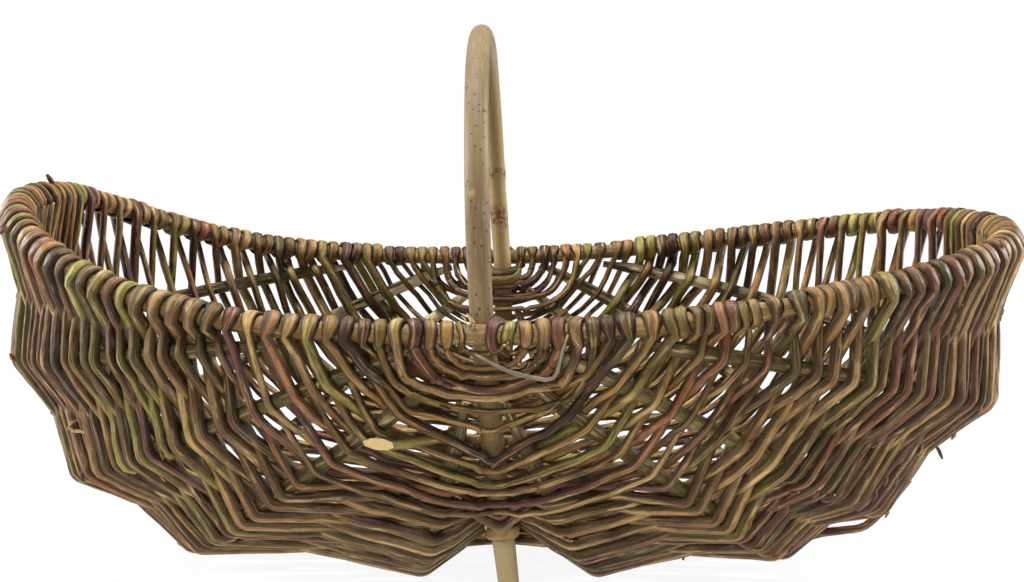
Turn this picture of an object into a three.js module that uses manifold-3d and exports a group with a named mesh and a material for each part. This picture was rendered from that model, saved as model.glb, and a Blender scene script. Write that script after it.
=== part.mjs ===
// Oval frame basket of unpeeled willow: a saddle-shaped rim hoop, a bent handle rod whose two ends
// run down the sides and stand on the ground as feet, curved ribs from ear to ear, and weavers that
// pass over and under the ribs and wrap round the rim. Millimetres, +Z up, +X along the basket,
// origin on the ground below the middle of the rim.
import * as THREE from "three";
import { mergeVertices } from "three/addons/utils/BufferGeometryUtils.js";
import Module from "manifold-3d";

// Rim hoop
const RIM_HALF_LENGTH = 302;
const RIM_HALF_WIDTH = 193;
const RIM_SQUARENESS = 2.6; // exponent of the oval: 2 is an ellipse, more is squarer
const RIM_LOW_HEIGHT = 171; // rim height where the handle crosses it
const RIM_RISE_LEFT = 59; // how far each end rises above that
const RIM_RISE_RIGHT = 40;
const RIM_RISE_POWER_LEFT = 3.4; // how late the rise starts towards each end
const RIM_RISE_POWER_RIGHT = 1.55;
const RIM_ROD = 11; // rod diameters
const RIB_ROD = 9;
const HANDLE_ROD = 13;

// Handle
const HANDLE_TOP = 337; // overall height of the basket
const HANDLE_SQUARENESS = 2.9;
const HANDLE_FRONT_X = -16; // the handle stands a little left of the middle
const HANDLE_BACK_X = -8;
const HANDLE_BOW = 7; // and bows further left between its two crossings
const FOOT_X = -5;
const LEG_STRAIGHT_BELOW = 76; // below this height each leg runs straight to the ground

// Belly and ribs
const KEEL_HEIGHT = 28; // the middle of the base is drawn up between the feet
const RIB_SQUARENESS = 2.35; // exponent of each rib's bow from ear to ear
// Ribs, from the upper one to the lowest
const EAR_OUT = [14, 14, 8, 6]; // how far beside the handle each rib aims at the ear
const EAR_DOWN = [0, 0, 16, 24]; // how far below the rim
const EAR_IN = [0, 0, 6, 11]; // and how far inside it
const RIB_SHORT_LEFT = [1, 34, 101]; // how far short of the rim's end the middle of each rib lies
const RIB_SHORT_RIGHT = [10, 73, 131];
const BELLY_REACH_LEFT = 57; // how far out the lowest ribs lie
const BELLY_REACH_RIGHT = 56;
const RIB_HEIGHT_LEFT = [138, 68, 23]; // and how high: the lowest ribs follow from the weave under them
const RIB_HEIGHT_RIGHT = [112, 46, 19];
const RIB_DROP = [1.6, 1.12, 1.04, 0.9]; // how late a rib drops towards its middle: 1 is steadily

// Weave
const ROWS = 16; // woven bands in each half, front and back
const BAND_COVER = 0.57; // a band's width as a share of the space between two bands
const BAND_THICKNESS = 5;
const EAR_CLEAR = 24; // the first band starts this far from the handle
const LASHING_ROD = 5;
const GAP = 0.4; // clearance between touching pieces
const WRAP_ANGLES = [215, 172, 130, 90, 50, 10, -28]; // degrees round the rim, from the tucked end

const RIM_R = RIM_ROD / 2;
const RIB_R = RIB_ROD / 2;
const HANDLE_R = HANDLE_ROD / 2;
const LASHING_R = LASHING_ROD / 2;
const BAND_ROOM = BAND_THICKNESS + 2 * GAP; // what one band needs beside a rod
const RIB_ROOM = 1.3 * BAND_ROOM; // what a rib's tip needs beside another rod
const LEG_ROOM = 2.2 * BAND_ROOM; // and beside a leg, where several bands pass
const BELLY_HEIGHT = RIB_R + BAND_ROOM; // the lowest ribs, over a band that lies on the ground
const HANDLE_Y = RIM_HALF_WIDTH - RIM_R - HANDLE_R - GAP; // the legs pass inside the rim
const FRONT = -1;
const BACK = 1;
const LEFT = -1;
const RIGHT = 1;

const wasm = await Module();
wasm.setup();

const vec = (x, y, z) => new THREE.Vector3(x, y, z);
const offset = (p, dir, distance) => p.clone().addScaledVector(dir, distance);

// A line of closely spaced points that can be read by the distance along it.
class Route {
  constructor(points) {
    this.points = points;
    this.marks = [0];
    for (let i = 1; i < points.length; i++)
      this.marks.push(this.marks[i - 1] + points[i].distanceTo(points[i - 1]));
    this.length = this.marks.at(-1);
  }
  at(s) {
    let i = this.marks.findIndex((m) => m > s);
    if (i < 0) i = this.marks.length - 1;
    i = Math.max(i, 1);
    const share = (s - this.marks[i - 1]) / (this.marks[i] - this.marks[i - 1]);
    return this.points[i - 1].clone().lerp(this.points[i], share);
  }
  tangent(s) {
    const step = 2;
    const ahead = this.at(Math.min(s + step, this.length));
    return ahead.sub(this.at(Math.max(s - step, 0))).normalize();
  }
  distanceTo(p) {
    const line = new THREE.Line3();
    const near = vec(0, 0, 0);
    let least = Infinity;
    for (let i = 1; i < this.points.length; i++) {
      line.set(this.points[i - 1], this.points[i]).closestPointToPoint(p, true, near);
      least = Math.min(least, near.distanceTo(p));
    }
    return least;
  }
  // The first distance along the route where it is at least this far from another route.
  firstClearOf(other, clearance) {
    const step = 1;
    for (let s = 0; s < this.length; s += step)
      if (other.distanceTo(this.at(s)) >= clearance) return s;
    return this.length;
  }
}

const sample = (count, make) => Array.from({ length: count + 1 }, (_, i) => make(i / count));
const earX = (end) => (end === FRONT ? HANDLE_FRONT_X : HANDLE_BACK_X);

// Rim: an oval in plan whose two ends rise.
function rimHeight(x) {
  const share = Math.abs(x) / RIM_HALF_LENGTH;
  const left = RIM_RISE_LEFT * share ** RIM_RISE_POWER_LEFT;
  const right = RIM_RISE_RIGHT * share ** RIM_RISE_POWER_RIGHT;
  return RIM_LOW_HEIGHT + (x < 0 ? left : right);
}
function rimPoint(angle) {
  const power = 2 / RIM_SQUARENESS;
  const across = Math.cos(angle);
  const along = Math.sin(angle);
  const x = RIM_HALF_LENGTH * Math.sign(along) * Math.abs(along) ** power;
  const y = RIM_HALF_WIDTH * Math.sign(across) * Math.abs(across) ** power;
  return vec(x, y, rimHeight(x));
}
// The quarter of the rim from the handle to one end of the basket.
function rimQuarter(side, end) {
  const middle = end === FRONT ? Math.PI : 0;
  const turn = side * end * (Math.PI / 2);
  const quarter = sample(160, (u) => rimPoint(middle + turn * u));
  const past = quarter.filter((p) => side * (p.x - earX(end)) > 0);
  const start = vec(earX(end), past[0].y, rimHeight(earX(end)));
  return new Route([start, ...past]);
}

// Half of a rib, from the ear at one end to its middle.
function ribHalf(side, order, end) {
  const short = (side === LEFT ? RIB_SHORT_LEFT : RIB_SHORT_RIGHT)[order];
  const belly = side === LEFT ? BELLY_REACH_LEFT : BELLY_REACH_RIGHT;
  const reach = short === undefined ? belly : RIM_HALF_LENGTH - short;
  const height = (side === LEFT ? RIB_HEIGHT_LEFT : RIB_HEIGHT_RIGHT)[order] ?? BELLY_HEIGHT;
  const start = earX(end) + side * EAR_OUT[order];
  const earZ = RIM_LOW_HEIGHT - EAR_DOWN[order];
  const power = 2 / RIB_SQUARENESS;
  return new Route(
    sample(160, (u) => {
      const share = Math.sin((u * Math.PI) / 2) ** power;
      const y = end * (RIM_HALF_WIDTH - EAR_IN[order]) * Math.cos((u * Math.PI) / 2) ** power;
      const x = start + (side * reach - start) * share;
      return vec(x, y, earZ + (height - earZ) * share ** RIB_DROP[order]);
    }),
  );
}

// The middle line of the wall under the handle, from the ear down to the keel's middle.
function keelLine(end) {
  const power = 2 / RIB_SQUARENESS;
  return new Route(
    sample(160, (u) => {
      const drop = Math.sin((u * Math.PI) / 2) ** power;
      const y = end * HANDLE_Y * Math.cos((u * Math.PI) / 2) ** power;
      const x = earX(end) + (FOOT_X - earX(end)) * drop;
      return vec(x, y, RIM_LOW_HEIGHT - (RIM_LOW_HEIGHT - KEEL_HEIGHT) * drop);
    }),
  );
}
// A leg of the handle, from the ear down the wall and then straight on into the ground.
function legPoints(end) {
  const line = keelLine(end);
  const step = 6;
  const points = [];
  let s = 0;
  for (; line.at(s).z > LEG_STRAIGHT_BELOW; s += step) points.push(line.at(s));
  const leave = line.at(s);
  const heading = line.tangent(s);
  const toGround = (leave.z + HANDLE_ROD) / -heading.z;
  points.push(leave, offset(leave, heading, toGround / 2), offset(leave, heading, toGround));
  return points;
}
// The arch of the handle over the basket, from the front ear to the back ear.
function archPoints() {
  const power = 2 / HANDLE_SQUARENESS;
  const rise = HANDLE_TOP - HANDLE_R - RIM_LOW_HEIGHT;
  return sample(36, (u) => {
    const angle = u * Math.PI;
    const across = Math.cos(angle);
    const y = -HANDLE_Y * Math.sign(across) * Math.abs(across) ** power;
    const lean = HANDLE_BOW * Math.sqrt(Math.max(0, Math.sin(angle)));
    const x = HANDLE_FRONT_X + (HANDLE_BACK_X - HANDLE_FRONT_X) * u - lean;
    return vec(x, y, RIM_LOW_HEIGHT + rise * Math.sin(angle) ** power);
  });
}

// Solids

function material(colour, roughness) {
  return new THREE.MeshStandardMaterial({ color: colour, roughness, metalness: 0 });
}
const BARK = material(0x6b5331, 0.72);
const RIB_BARK = material(0x6f6a3a, 0.7);
const HANDLE_BARK = material(0xa98c5c, 0.62);
const WEAVER_BARK = [material(0x5f4a2b, 0.74), material(0x6a4636, 0.74), material(0x70683a, 0.74)];

// A line with straight stretches between its bends, so that a rod bends exactly at the given points.
class Bends extends THREE.Curve {
  constructor(points) {
    super();
    this.points = points;
  }
  getPointAt(share) {
    const i = Math.round(share * (this.points.length - 1));
    return this.points[i].clone();
  }
  getTangentAt(share) {
    const last = this.points.length - 1;
    const i = Math.round(share * last);
    const ahead = this.points[Math.min(i + 1, last)].clone();
    return ahead.sub(this.points[Math.max(i - 1, 0)]).normalize();
  }
}
// A round rod through a line of bends, with square-cut ends.
function rodGeometry(points, diameter, sides) {
  const section = new THREE.Shape(
    Array.from({ length: sides }, (_, i) => {
      const angle = (i * 2 * Math.PI) / sides;
      const r = diameter / 2;
      return new THREE.Vector2(r * Math.cos(angle), r * Math.sin(angle));
    }),
  );
  const path = { steps: points.length - 1, extrudePath: new Bends(points), bevelEnabled: false };
  return new THREE.ExtrudeGeometry(section, path);
}
// A closed solid through four-cornered sections.
function loftGeometry(sections) {
  const position = sections.flat().flatMap((p) => p.toArray());
  const index = [];
  const quad = (a, b, c, d) => index.push(a, b, c, a, c, d);
  for (let i = 0; i + 1 < sections.length; i++)
    for (let k = 0; k < 4; k++) {
      const next = (k + 1) % 4;
      quad(i * 4 + k, i * 4 + next, i * 4 + 4 + next, i * 4 + 4 + k);
    }
  const last = (sections.length - 1) * 4;
  quad(3, 2, 1, 0);
  quad(last, last + 1, last + 2, last + 3);
  const geometry = new THREE.BufferGeometry();
  geometry.setAttribute("position", new THREE.Float32BufferAttribute(position, 3));
  return geometry.setIndex(index);
}
function solidOf(geometry) {
  const bare = geometry.clone();
  bare.deleteAttribute("normal");
  bare.deleteAttribute("uv");
  const merged = mergeVertices(bare, 1e-3);
  const mesh = new wasm.Mesh({
    numProp: 3,
    vertProperties: merged.attributes.position.array,
    triVerts: new Uint32Array(merged.index.array),
  });
  return new wasm.Manifold(mesh);
}
function geometryOf(solid) {
  const mesh = solid.getMesh();
  const geometry = new THREE.BufferGeometry();
  geometry.setAttribute("position", new THREE.BufferAttribute(mesh.vertProperties, 3));
  return geometry.setIndex(new THREE.BufferAttribute(mesh.triVerts, 1));
}

const basket = new THREE.Group();
function add(name, geometry, finish) {
  const mesh = new THREE.Mesh(geometry, finish);
  mesh.name = name;
  basket.add(mesh);
}

// Where the rods bend and the bands cross them. In each half of the basket every rod bends half way
// between two bands, so a band always crosses a straight stretch.
const even = (route, from, to, count) => sample(count, (u) => route.at(from + u * (to - from)));
const half = {};
for (const end of [FRONT, BACK]) half[end] = layOutHalf(end);

function layOutHalf(end) {
  const rims = { [LEFT]: rimQuarter(LEFT, end), [RIGHT]: rimQuarter(RIGHT, end) };
  const line = keelLine(end);
  const leg = new Route(legPoints(end));
  const laid = { leg, line, rim: {}, ribs: {}, firstRow: {} };
  layOutKeel(laid);
  for (const side of [LEFT, RIGHT]) {
    laid.rim[side] = even(rims[side], EAR_CLEAR, rims[side].length, ROWS);
    const routes = EAR_OUT.map((_, order) => ribHalf(side, order, end));
    laid.ribs[side] = routes.map((r) => even(r, EAR_CLEAR, r.length, ROWS));
    laid.firstRow[side] = routes.map((r, order) => {
      const start = Math.max(
        r.firstClearOf(rims[side], RIM_R + RIB_R + RIB_ROOM),
        r.firstClearOf(line, HANDLE_R + RIB_R + LEG_ROOM),
        order > 0 ? r.firstClearOf(routes[order - 1], 2 * RIB_R + RIB_ROOM) : 0,
      );
      return Math.max(0, Math.ceil(((start - EAR_CLEAR) / (r.length - EAR_CLEAR)) * ROWS));
    });
  }
  return laid;
}
// Down the middle the bands cross the leg first and, past the foot's tie, the keel rod.
function layOutKeel(laid) {
  const { leg, line } = laid;
  const apart = (s) => leg.distanceTo(line.at(s));
  let free = line.length;
  while (apart(free) >= HANDLE_R + RIB_R + BAND_ROOM) free -= 1;
  let tip = free;
  while (apart(tip) >= HANDLE_R + RIB_R + GAP) tip -= 1;
  laid.tip = tip + 1;
  const legEnd = laid.tip - LASHING_ROD;
  const keelFrom = free + BAND_ROOM;
  const share = (legEnd - EAR_CLEAR) / (legEnd - EAR_CLEAR + line.length - keelFrom);
  laid.legRows = Math.round(ROWS * share);
  laid.legBends = even(leg, EAR_CLEAR, legEnd, laid.legRows);
  laid.keelBends = even(line, keelFrom, line.length, ROWS - laid.legRows);
}
// The front half's bends followed by the back half's.
const joined = (front, back) => [...front, ...back.slice(0, -1).toReversed()];

// Rim hoop: one rod bent round, with its ends meeting under the handle at the back.
function addRim() {
  const ear = (end, shift) => vec(earX(end) + shift, end * RIM_HALF_WIDTH, rimHeight(earX(end)));
  const right = joined(half[BACK].rim[RIGHT], half[FRONT].rim[RIGHT]);
  const left = joined(half[FRONT].rim[LEFT], half[BACK].rim[LEFT]);
  const bends = [ear(BACK, GAP / 2), ...right, ear(FRONT, 0), ...left, ear(BACK, -GAP / 2)];
  add("rim_hoop", rodGeometry(bends, RIM_ROD, 8), BARK);
}
// Handle hoop: arch and both legs in one rod, sawn level with the ground.
function addHandle() {
  const down = (end) => [...half[end].legBends, half[end].leg.points.at(-1)];
  const bends = [...down(FRONT).toReversed(), ...archPoints(), ...down(BACK)];
  const rod = solidOf(rodGeometry(bends, HANDLE_ROD, 10));
  const depth = 4 * HANDLE_ROD;
  const ground = new THREE.BoxGeometry(2 * RIM_HALF_WIDTH, 2 * RIM_HALF_WIDTH, depth);
  ground.translate(0, 0, -depth / 2);
  add("handle_hoop", geometryOf(rod.subtract(solidOf(ground))), HANDLE_BARK);
}
// Ribs: each runs from its tip, tucked between two bands of the front weave, to its tip at the back.
function addRibs() {
  const names = ["upper", "shoulder", "lower", "belly"];
  for (const side of [LEFT, RIGHT])
    names.forEach((name, order) => {
      const from = (end) => half[end].ribs[side][order].slice(half[end].firstRow[side][order]);
      const where = side === LEFT ? "left" : "right";
      const bends = joined(from(FRONT), from(BACK));
      add(`rib_${where}_${name}`, rodGeometry(bends, RIB_ROD, 6), RIB_BARK);
    });
}
// Keel rib: its two tips lie on the slanting legs.
function addKeel() {
  const from = (end) => [half[end].line.at(half[end].tip), ...half[end].keelBends];
  add("keel_rib", rodGeometry(joined(from(FRONT), from(BACK)), RIB_ROD, 6), RIB_BARK);
}

// A band's crossings, left to right: where it meets each rod, on which side, and the wall's directions there.
function bandCrossings(end, row) {
  const laid = half[end];
  const last = EAR_OUT.length;
  const found = [];
  const meet = (bends, stretch, radius, turn) => {
    const from = bends[stretch];
    const to = bends[stretch + 1];
    const outside = (row + turn + (end === BACK ? 1 : 0)) % 2 === 0;
    const along = to.clone().sub(from);
    const width = along.length() * BAND_COVER;
    along.normalize();
    const point = from.clone().lerp(to, 0.5);
    found.push({ point, along, width, radius, out: outside ? 1 : -1 });
  };
  const meetRib = (side, order) => {
    if (row >= laid.firstRow[side][order]) meet(laid.ribs[side][order], row, RIB_R, order + 1);
  };
  meet(laid.rim[LEFT], row, RIM_R, 0);
  for (let order = 0; order < last; order++) meetRib(LEFT, order);
  if (row < laid.legRows) meet(laid.legBends, row, HANDLE_R, last + 1);
  else meet(laid.keelBends, row - laid.legRows, RIB_R, last + 1);
  for (let order = last - 1; order >= 0; order--) meetRib(RIGHT, order);
  meet(laid.rim[RIGHT], row, RIM_R, 0);
  const inside = vec(0, 0, RIM_LOW_HEIGHT);
  found.forEach((c, i) => {
    const before = found[Math.max(i - 1, 0)].point;
    const after = found[Math.min(i + 1, found.length - 1)].point;
    const across = after.clone().sub(before);
    c.across = across.addScaledVector(c.along, -across.dot(c.along)).normalize();
    c.outward = c.along.clone().cross(c.across).normalize();
    if (c.outward.dot(c.point.clone().sub(inside)) < 0) c.outward.negate();
  });
  return found;
}
function section({ centre, along, width, thick }, end) {
  const w = along.clone().multiplyScalar((end * width) / 2);
  const t = thick.clone().multiplyScalar(BAND_THICKNESS / 2);
  const corner = (a, b) => centre.clone().addScaledVector(w, a).addScaledVector(t, b);
  return [corner(-1, -1), corner(1, -1), corner(1, 1), corner(-1, 1)];
}
// The band's hook round the rim, from its tucked end to where it leaves for the first rib.
function rimWrap(c, side) {
  const up = c.across.clone().multiplyScalar(side);
  const widest = THREE.MathUtils.degToRad(WRAP_ANGLES[0] - WRAP_ANGLES[1]);
  const reach = (c.radius + GAP) / Math.cos(widest / 2) + BAND_THICKNESS / 2;
  return WRAP_ANGLES.map((degrees) => {
    const angle = THREE.MathUtils.degToRad(degrees);
    const thick = c.outward.clone().multiplyScalar(Math.cos(angle));
    thick.addScaledVector(up, c.out * Math.sin(angle));
    return { ...c, centre: offset(c.point, thick, c.out * reach), thick };
  });
}
function ribCrossover(c) {
  const reach = c.out * (c.radius + GAP + BAND_THICKNESS / 2);
  const level = offset(c.point, c.outward, reach);
  return [-1, 1].map((way) => {
    return { ...c, centre: offset(level, c.across, way * c.radius), thick: c.outward };
  });
}
function addBands() {
  for (const end of [FRONT, BACK])
    for (let row = 0; row < ROWS; row++) {
      const crossings = bandCrossings(end, row);
      const stations = [
        ...rimWrap(crossings[0], LEFT),
        ...crossings.slice(1, -1).flatMap(ribCrossover),
        ...rimWrap(crossings.at(-1), RIGHT).toReversed(),
      ];
      const sections = stations.map((station) => section(station, end));
      const name = `${end === FRONT ? "front" : "back"}_weave_${String(row + 1).padStart(2, "0")}`;
      add(name, loftGeometry(sections), WEAVER_BARK[row % WEAVER_BARK.length]);
    }
}

// A tie: one withy laid round two rods, its two ends meeting. Half sizes along two directions.
function tieGeometry(centre, lengthways, halfLength, sideways, halfWidth) {
  const squareness = 2.3;
  const power = 2 / squareness;
  const opening = GAP / (halfLength + halfWidth);
  const points = sample(24, (u) => {
    const angle = opening + u * (2 * Math.PI - 2 * opening);
    const c = Math.cos(angle);
    const s = Math.sin(angle);
    const p = offset(centre, lengthways, halfLength * Math.sign(c) * Math.abs(c) ** power);
    return p.addScaledVector(sideways, halfWidth * Math.sign(s) * Math.abs(s) ** power);
  });
  return rodGeometry(points, LASHING_ROD, 6);
}
function addTies() {
  for (const end of [FRONT, BACK]) {
    const where = end === FRONT ? "front" : "back";
    const room = LASHING_R + GAP;
    const middle = (RIM_HALF_WIDTH + RIM_R + HANDLE_Y - HANDLE_R) / 2;
    const halfLength = (RIM_HALF_WIDTH + RIM_R - HANDLE_Y + HANDLE_R) / 2 + room;
    const diagonal = vec(1, 0, 1).normalize();
    const ear = vec(earX(end), end * middle, RIM_LOW_HEIGHT);
    const halfWidth = (HANDLE_R + room) * Math.SQRT2 + GAP;
    const earTie = tieGeometry(ear, vec(0, 1, 0), halfLength, diagonal, halfWidth);
    add(`${where}_ear_tie`, earTie, BARK);
    addFootTie(where, end);
  }
}
// The foot's tie holds the keel rod's tip down on the slanting leg.
function addFootTie(where, end) {
  const { leg, line, tip } = half[end];
  const held = line.at(tip + LASHING_ROD);
  const low = leg.points.at(-1);
  const heading = leg.tangent(leg.length);
  const foot = offset(low, heading, held.clone().sub(low).dot(heading));
  const lift = held.clone().sub(foot);
  const apart = lift.length();
  lift.normalize();
  const room = LASHING_R + GAP;
  const slant = Math.abs(line.tangent(tip + LASHING_ROD).dot(heading));
  const halfLength = (HANDLE_R + apart + RIB_R / slant) / 2 + room;
  const centre = offset(foot, lift, halfLength - HANDLE_R - room);
  const sideways = lift.clone().cross(heading).normalize();
  add(`${where}_foot_tie`, tieGeometry(centre, lift, halfLength, sideways, HANDLE_R + 2 * room), BARK);
}

addRim();
addHandle();
addRibs();
addKeel();
addBands();
addTies();

export default basket;
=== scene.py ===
# %% [markdown]
# # A gathering basket of unpeeled willow
# The basket hangs on a frame. An oval rim, one bent rod that is handle and feet in one piece, and bowed
# ribs that run from the front ear to the back ear carry the weave. Thin rods pass over and under the
# ribs from rim to rim and wrap round the rim at both ends.
#
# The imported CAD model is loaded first. It gives the frame in metres, X along the basket, Y to the back
# and Z up, and every rod below is laid where that model has it.

# %% Load the frame
import math
import random

import bmesh
import bpy
import numpy as np
from mathutils import Matrix, Vector


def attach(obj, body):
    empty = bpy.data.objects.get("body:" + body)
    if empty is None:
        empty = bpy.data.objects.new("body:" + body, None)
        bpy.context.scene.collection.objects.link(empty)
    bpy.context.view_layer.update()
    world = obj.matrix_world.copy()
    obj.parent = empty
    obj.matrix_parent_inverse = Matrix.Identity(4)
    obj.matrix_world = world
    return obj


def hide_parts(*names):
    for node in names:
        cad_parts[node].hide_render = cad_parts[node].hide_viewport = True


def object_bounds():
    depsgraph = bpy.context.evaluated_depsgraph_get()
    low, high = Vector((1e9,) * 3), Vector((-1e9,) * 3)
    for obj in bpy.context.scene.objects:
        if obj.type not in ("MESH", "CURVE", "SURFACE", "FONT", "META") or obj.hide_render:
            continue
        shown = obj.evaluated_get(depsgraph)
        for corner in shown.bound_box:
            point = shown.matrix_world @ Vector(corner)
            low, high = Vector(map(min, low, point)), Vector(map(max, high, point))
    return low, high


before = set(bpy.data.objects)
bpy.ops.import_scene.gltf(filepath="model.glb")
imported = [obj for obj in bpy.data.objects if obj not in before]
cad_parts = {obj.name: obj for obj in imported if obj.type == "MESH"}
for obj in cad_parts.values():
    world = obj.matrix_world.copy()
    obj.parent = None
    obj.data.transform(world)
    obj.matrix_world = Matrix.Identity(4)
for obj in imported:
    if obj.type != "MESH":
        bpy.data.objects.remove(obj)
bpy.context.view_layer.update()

# %% [markdown]
# ## The camera
# The view is from the front and a little above the rim, about a metre away. A camera is an object with
# a lens, and it looks along its own -Z axis, so it is turned until that axis points at the basket.

# %% Camera
def aim(thing, target):
    """Turns a camera or a lamp towards a point."""
    way = Vector(target) - thing.location
    thing.rotation_euler = way.to_track_quat("-Z", "Y").to_euler()


camera = bpy.data.objects.new("camera", bpy.data.cameras.new("camera"))
bpy.context.collection.objects.link(camera)
camera.location = (-0.0008, -0.9919, 0.2960)
aim(camera, (-0.0008, 0.0, 0.1693))
camera.data.sensor_width = 36
camera.data.lens = 54.84
bpy.context.scene.camera = camera
print("camera height in mm:", round(camera.location.z * 1000))

# %% [markdown]
# ## The lines that the rods follow
# A basket maker bends rods, so each rod is a line with a thickness. The lines repeat the formulas of the
# CAD part: the rim is a squared oval whose ends rise, a rib is a bow from ear to ear, and the section of
# the belly sets how low each rib hangs. A Route keeps such a line and is read by the distance along it.

# %% Sizes
MM = 0.001
FRONT, BACK = -1, 1
LEFT, RIGHT = -1, 1
ENDS = {FRONT: "front", BACK: "back"}
SIDES = {LEFT: "left", RIGHT: "right"}
QUARTERS = [(side, end) for side in SIDES for end in ENDS]
RIM_HALF_LENGTH = 302 * MM
RIM_HALF_WIDTH = 193 * MM
RIM_LOW_HEIGHT = 171 * MM
RIM_RISE = {LEFT: (59 * MM, 3.4), RIGHT: (40 * MM, 1.55)}
RIM_RADIUS = 5.5 * MM
RIB_RADIUS = 4.5 * MM
HANDLE_RADIUS = 6.5 * MM
HANDLE_TOP = 337 * MM
EAR_X = {FRONT: -16 * MM, BACK: -8 * MM}
FOOT_X = -5 * MM
KEEL_HEIGHT = 28 * MM
CLEARANCE = 0.4 * MM
HANDLE_Y = RIM_HALF_WIDTH - RIM_RADIUS - HANDLE_RADIUS - CLEARANCE
LEG_STRAIGHT_BELOW = 76 * MM
LEG_SPARE = 14 * MM

# %% Squared curves: 1 is an ellipse, less is squarer
RIM_POWER = 2 / 2.6
RIB_POWER = 2 / 2.35
HANDLE_POWER = 2 / 2.9

# %% Sizes of the ribs, in millimetres, from the upper one to the lowest
RIB_NAMES = ["upper", "shoulder", "lower", "belly"]
EAR_OUT = [14, 14, 8, 6]
EAR_DOWN = [0, 0, 16, 24]
EAR_IN = [0, 0, 6, 11]
RIB_REACH = {LEFT: [301, 268, 201, 57], RIGHT: [292, 229, 171, 56]}
RIB_HEIGHT = {LEFT: [138, 68, 23, 10.3], RIGHT: [112, 46, 19, 10.3]}
RIB_DROP = [1.6, 1.12, 1.04, 0.9]


# %% Route
def unit(vector):
    return vector / np.linalg.norm(vector)


def marks_along(points):
    """The distance walked to each point of a line."""
    steps = np.linalg.norm(np.diff(points, axis=0), axis=1)
    return np.concatenate([[0.0], np.cumsum(steps)])


class Route:
    """A line of points that is read by the distance walked along it."""

    def __init__(self, points):
        self.points = np.array(points, dtype=float)
        self.marks = marks_along(self.points)
        self.length = self.marks[-1]

    def at(self, walked):
        return np.stack([np.interp(walked, self.marks, column) for column in self.points.T], axis=-1)

    def heading(self, walked):
        return unit(self.at(walked + 2 * MM) - self.at(walked - 2 * MM))

    def gap(self, point):
        """Distance from a point to the line."""
        return np.min(np.linalg.norm(self.points - point, axis=1))

    def clear_of(self, other, room):
        """The first distance at which the line is this far from another line."""
        for walked in np.arange(0, self.length, MM):
            if other.gap(self.at(walked)) >= room:
                return walked
        return self.length


# %% Rim and bows
def rim_height(x):
    rise, power = RIM_RISE[LEFT if x < 0 else RIGHT]
    return RIM_LOW_HEIGHT + rise * (abs(x) / RIM_HALF_LENGTH) ** power


def rim_quarter(side, end):
    """The rim from the handle to one tip of the basket."""
    points = [(EAR_X[end], end * RIM_HALF_WIDTH, rim_height(EAR_X[end]))]
    for turn in np.linspace(0, math.pi / 2, 220):
        x = side * RIM_HALF_LENGTH * math.sin(turn) ** RIM_POWER
        y = end * RIM_HALF_WIDTH * abs(math.cos(turn)) ** RIM_POWER
        if side * (x - EAR_X[end]) > 0:
            points.append((x, y, rim_height(x)))
    return Route(points)


def bow(end, start, reach, half_width, top, low, power=1.0):
    """A line from an ear, at x start and height top, to the middle, at x reach and height low."""
    turn = np.linspace(0, math.pi / 2, 220)
    share = np.sin(turn) ** RIB_POWER
    x = start + (reach - start) * share
    y = end * half_width * np.abs(np.cos(turn)) ** RIB_POWER
    z = top + (low - top) * share**power
    return Route(np.stack([x, y, z], axis=1))


# %% Ribs, keel and legs as lines
def rib_half(side, order, end):
    """A rib from the ear to its middle."""
    start = EAR_X[end] + side * EAR_OUT[order] * MM
    reach = side * RIB_REACH[side][order] * MM
    half_width = RIM_HALF_WIDTH - EAR_IN[order] * MM
    top = RIM_LOW_HEIGHT - EAR_DOWN[order] * MM
    return bow(end, start, reach, half_width, top, RIB_HEIGHT[side][order] * MM, RIB_DROP[order])


def leg_line(end):
    """A leg of the handle: down the wall, then straight on into the ground."""
    line = keels[end]
    walked = 0.0
    points = []
    while line.at(walked)[2] > LEG_STRAIGHT_BELOW:
        points.append(line.at(walked))
        walked += 2 * MM
    leave = line.at(walked)
    way = line.heading(walked)
    past_ground = (leave[2] + LEG_SPARE) / -way[2]
    for share in np.linspace(0, 1, 50):
        points.append(leave + way * past_ground * share)
    return Route(points)


rims = {(side, end): rim_quarter(side, end) for side, end in QUARTERS}
ribs = {(side, i, end): rib_half(side, i, end) for side in SIDES for i in range(4) for end in ENDS}
keels = {end: bow(end, EAR_X[end], FOOT_X, HANDLE_Y, RIM_LOW_HEIGHT, KEEL_HEIGHT) for end in ENDS}
legs = {end: leg_line(end) for end in ENDS}
print("rim quarter in mm:", round(rims[LEFT, FRONT].length / MM))

# %% [markdown]
# ## One rod
# Every rod is made the same way. A ring of vertices is placed at the start of the line, and its edges
# are extruded from station to station. At each station a matrix turns the new ring square to the line
# and sets how wide and how thick the rod is there. A curve with a bevel would be quicker to write, but
# it cannot be wide one way and thin the other, and willow that is wrapped round a rim flattens.
#
# Each vertex also keeps two notes for the bark: tone, one number for the whole rod, and bark, the place
# that the vertex had when the rod was still straight. Grain made from that place runs along the rod
# round every bend.

# %% Stations along a rod
def frames_at(stations):
    """One matrix a station: X is the width, Y the thickness and Z the way along the rod.

    A station is a centre, the thick way, half the width and half the thickness.
    """
    centre, thick, width, depth = (np.array(column) for column in zip(*stations))
    ahead = np.gradient(centre, axis=0)
    ahead /= np.linalg.norm(ahead, axis=1)[:, None]
    thick = thick - ahead * np.sum(thick * ahead, axis=1)[:, None]
    thick /= np.linalg.norm(thick, axis=1)[:, None]
    wide = np.cross(thick, ahead)
    columns = [wide * width[:, None], thick * depth[:, None], ahead * MM, centre]
    return [Matrix([*rows, (0, 0, 0, 1)]) for rows in np.stack(columns, axis=-1).tolist()]


# %% A rod in its own bmesh
chance = random.Random(7)


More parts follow.
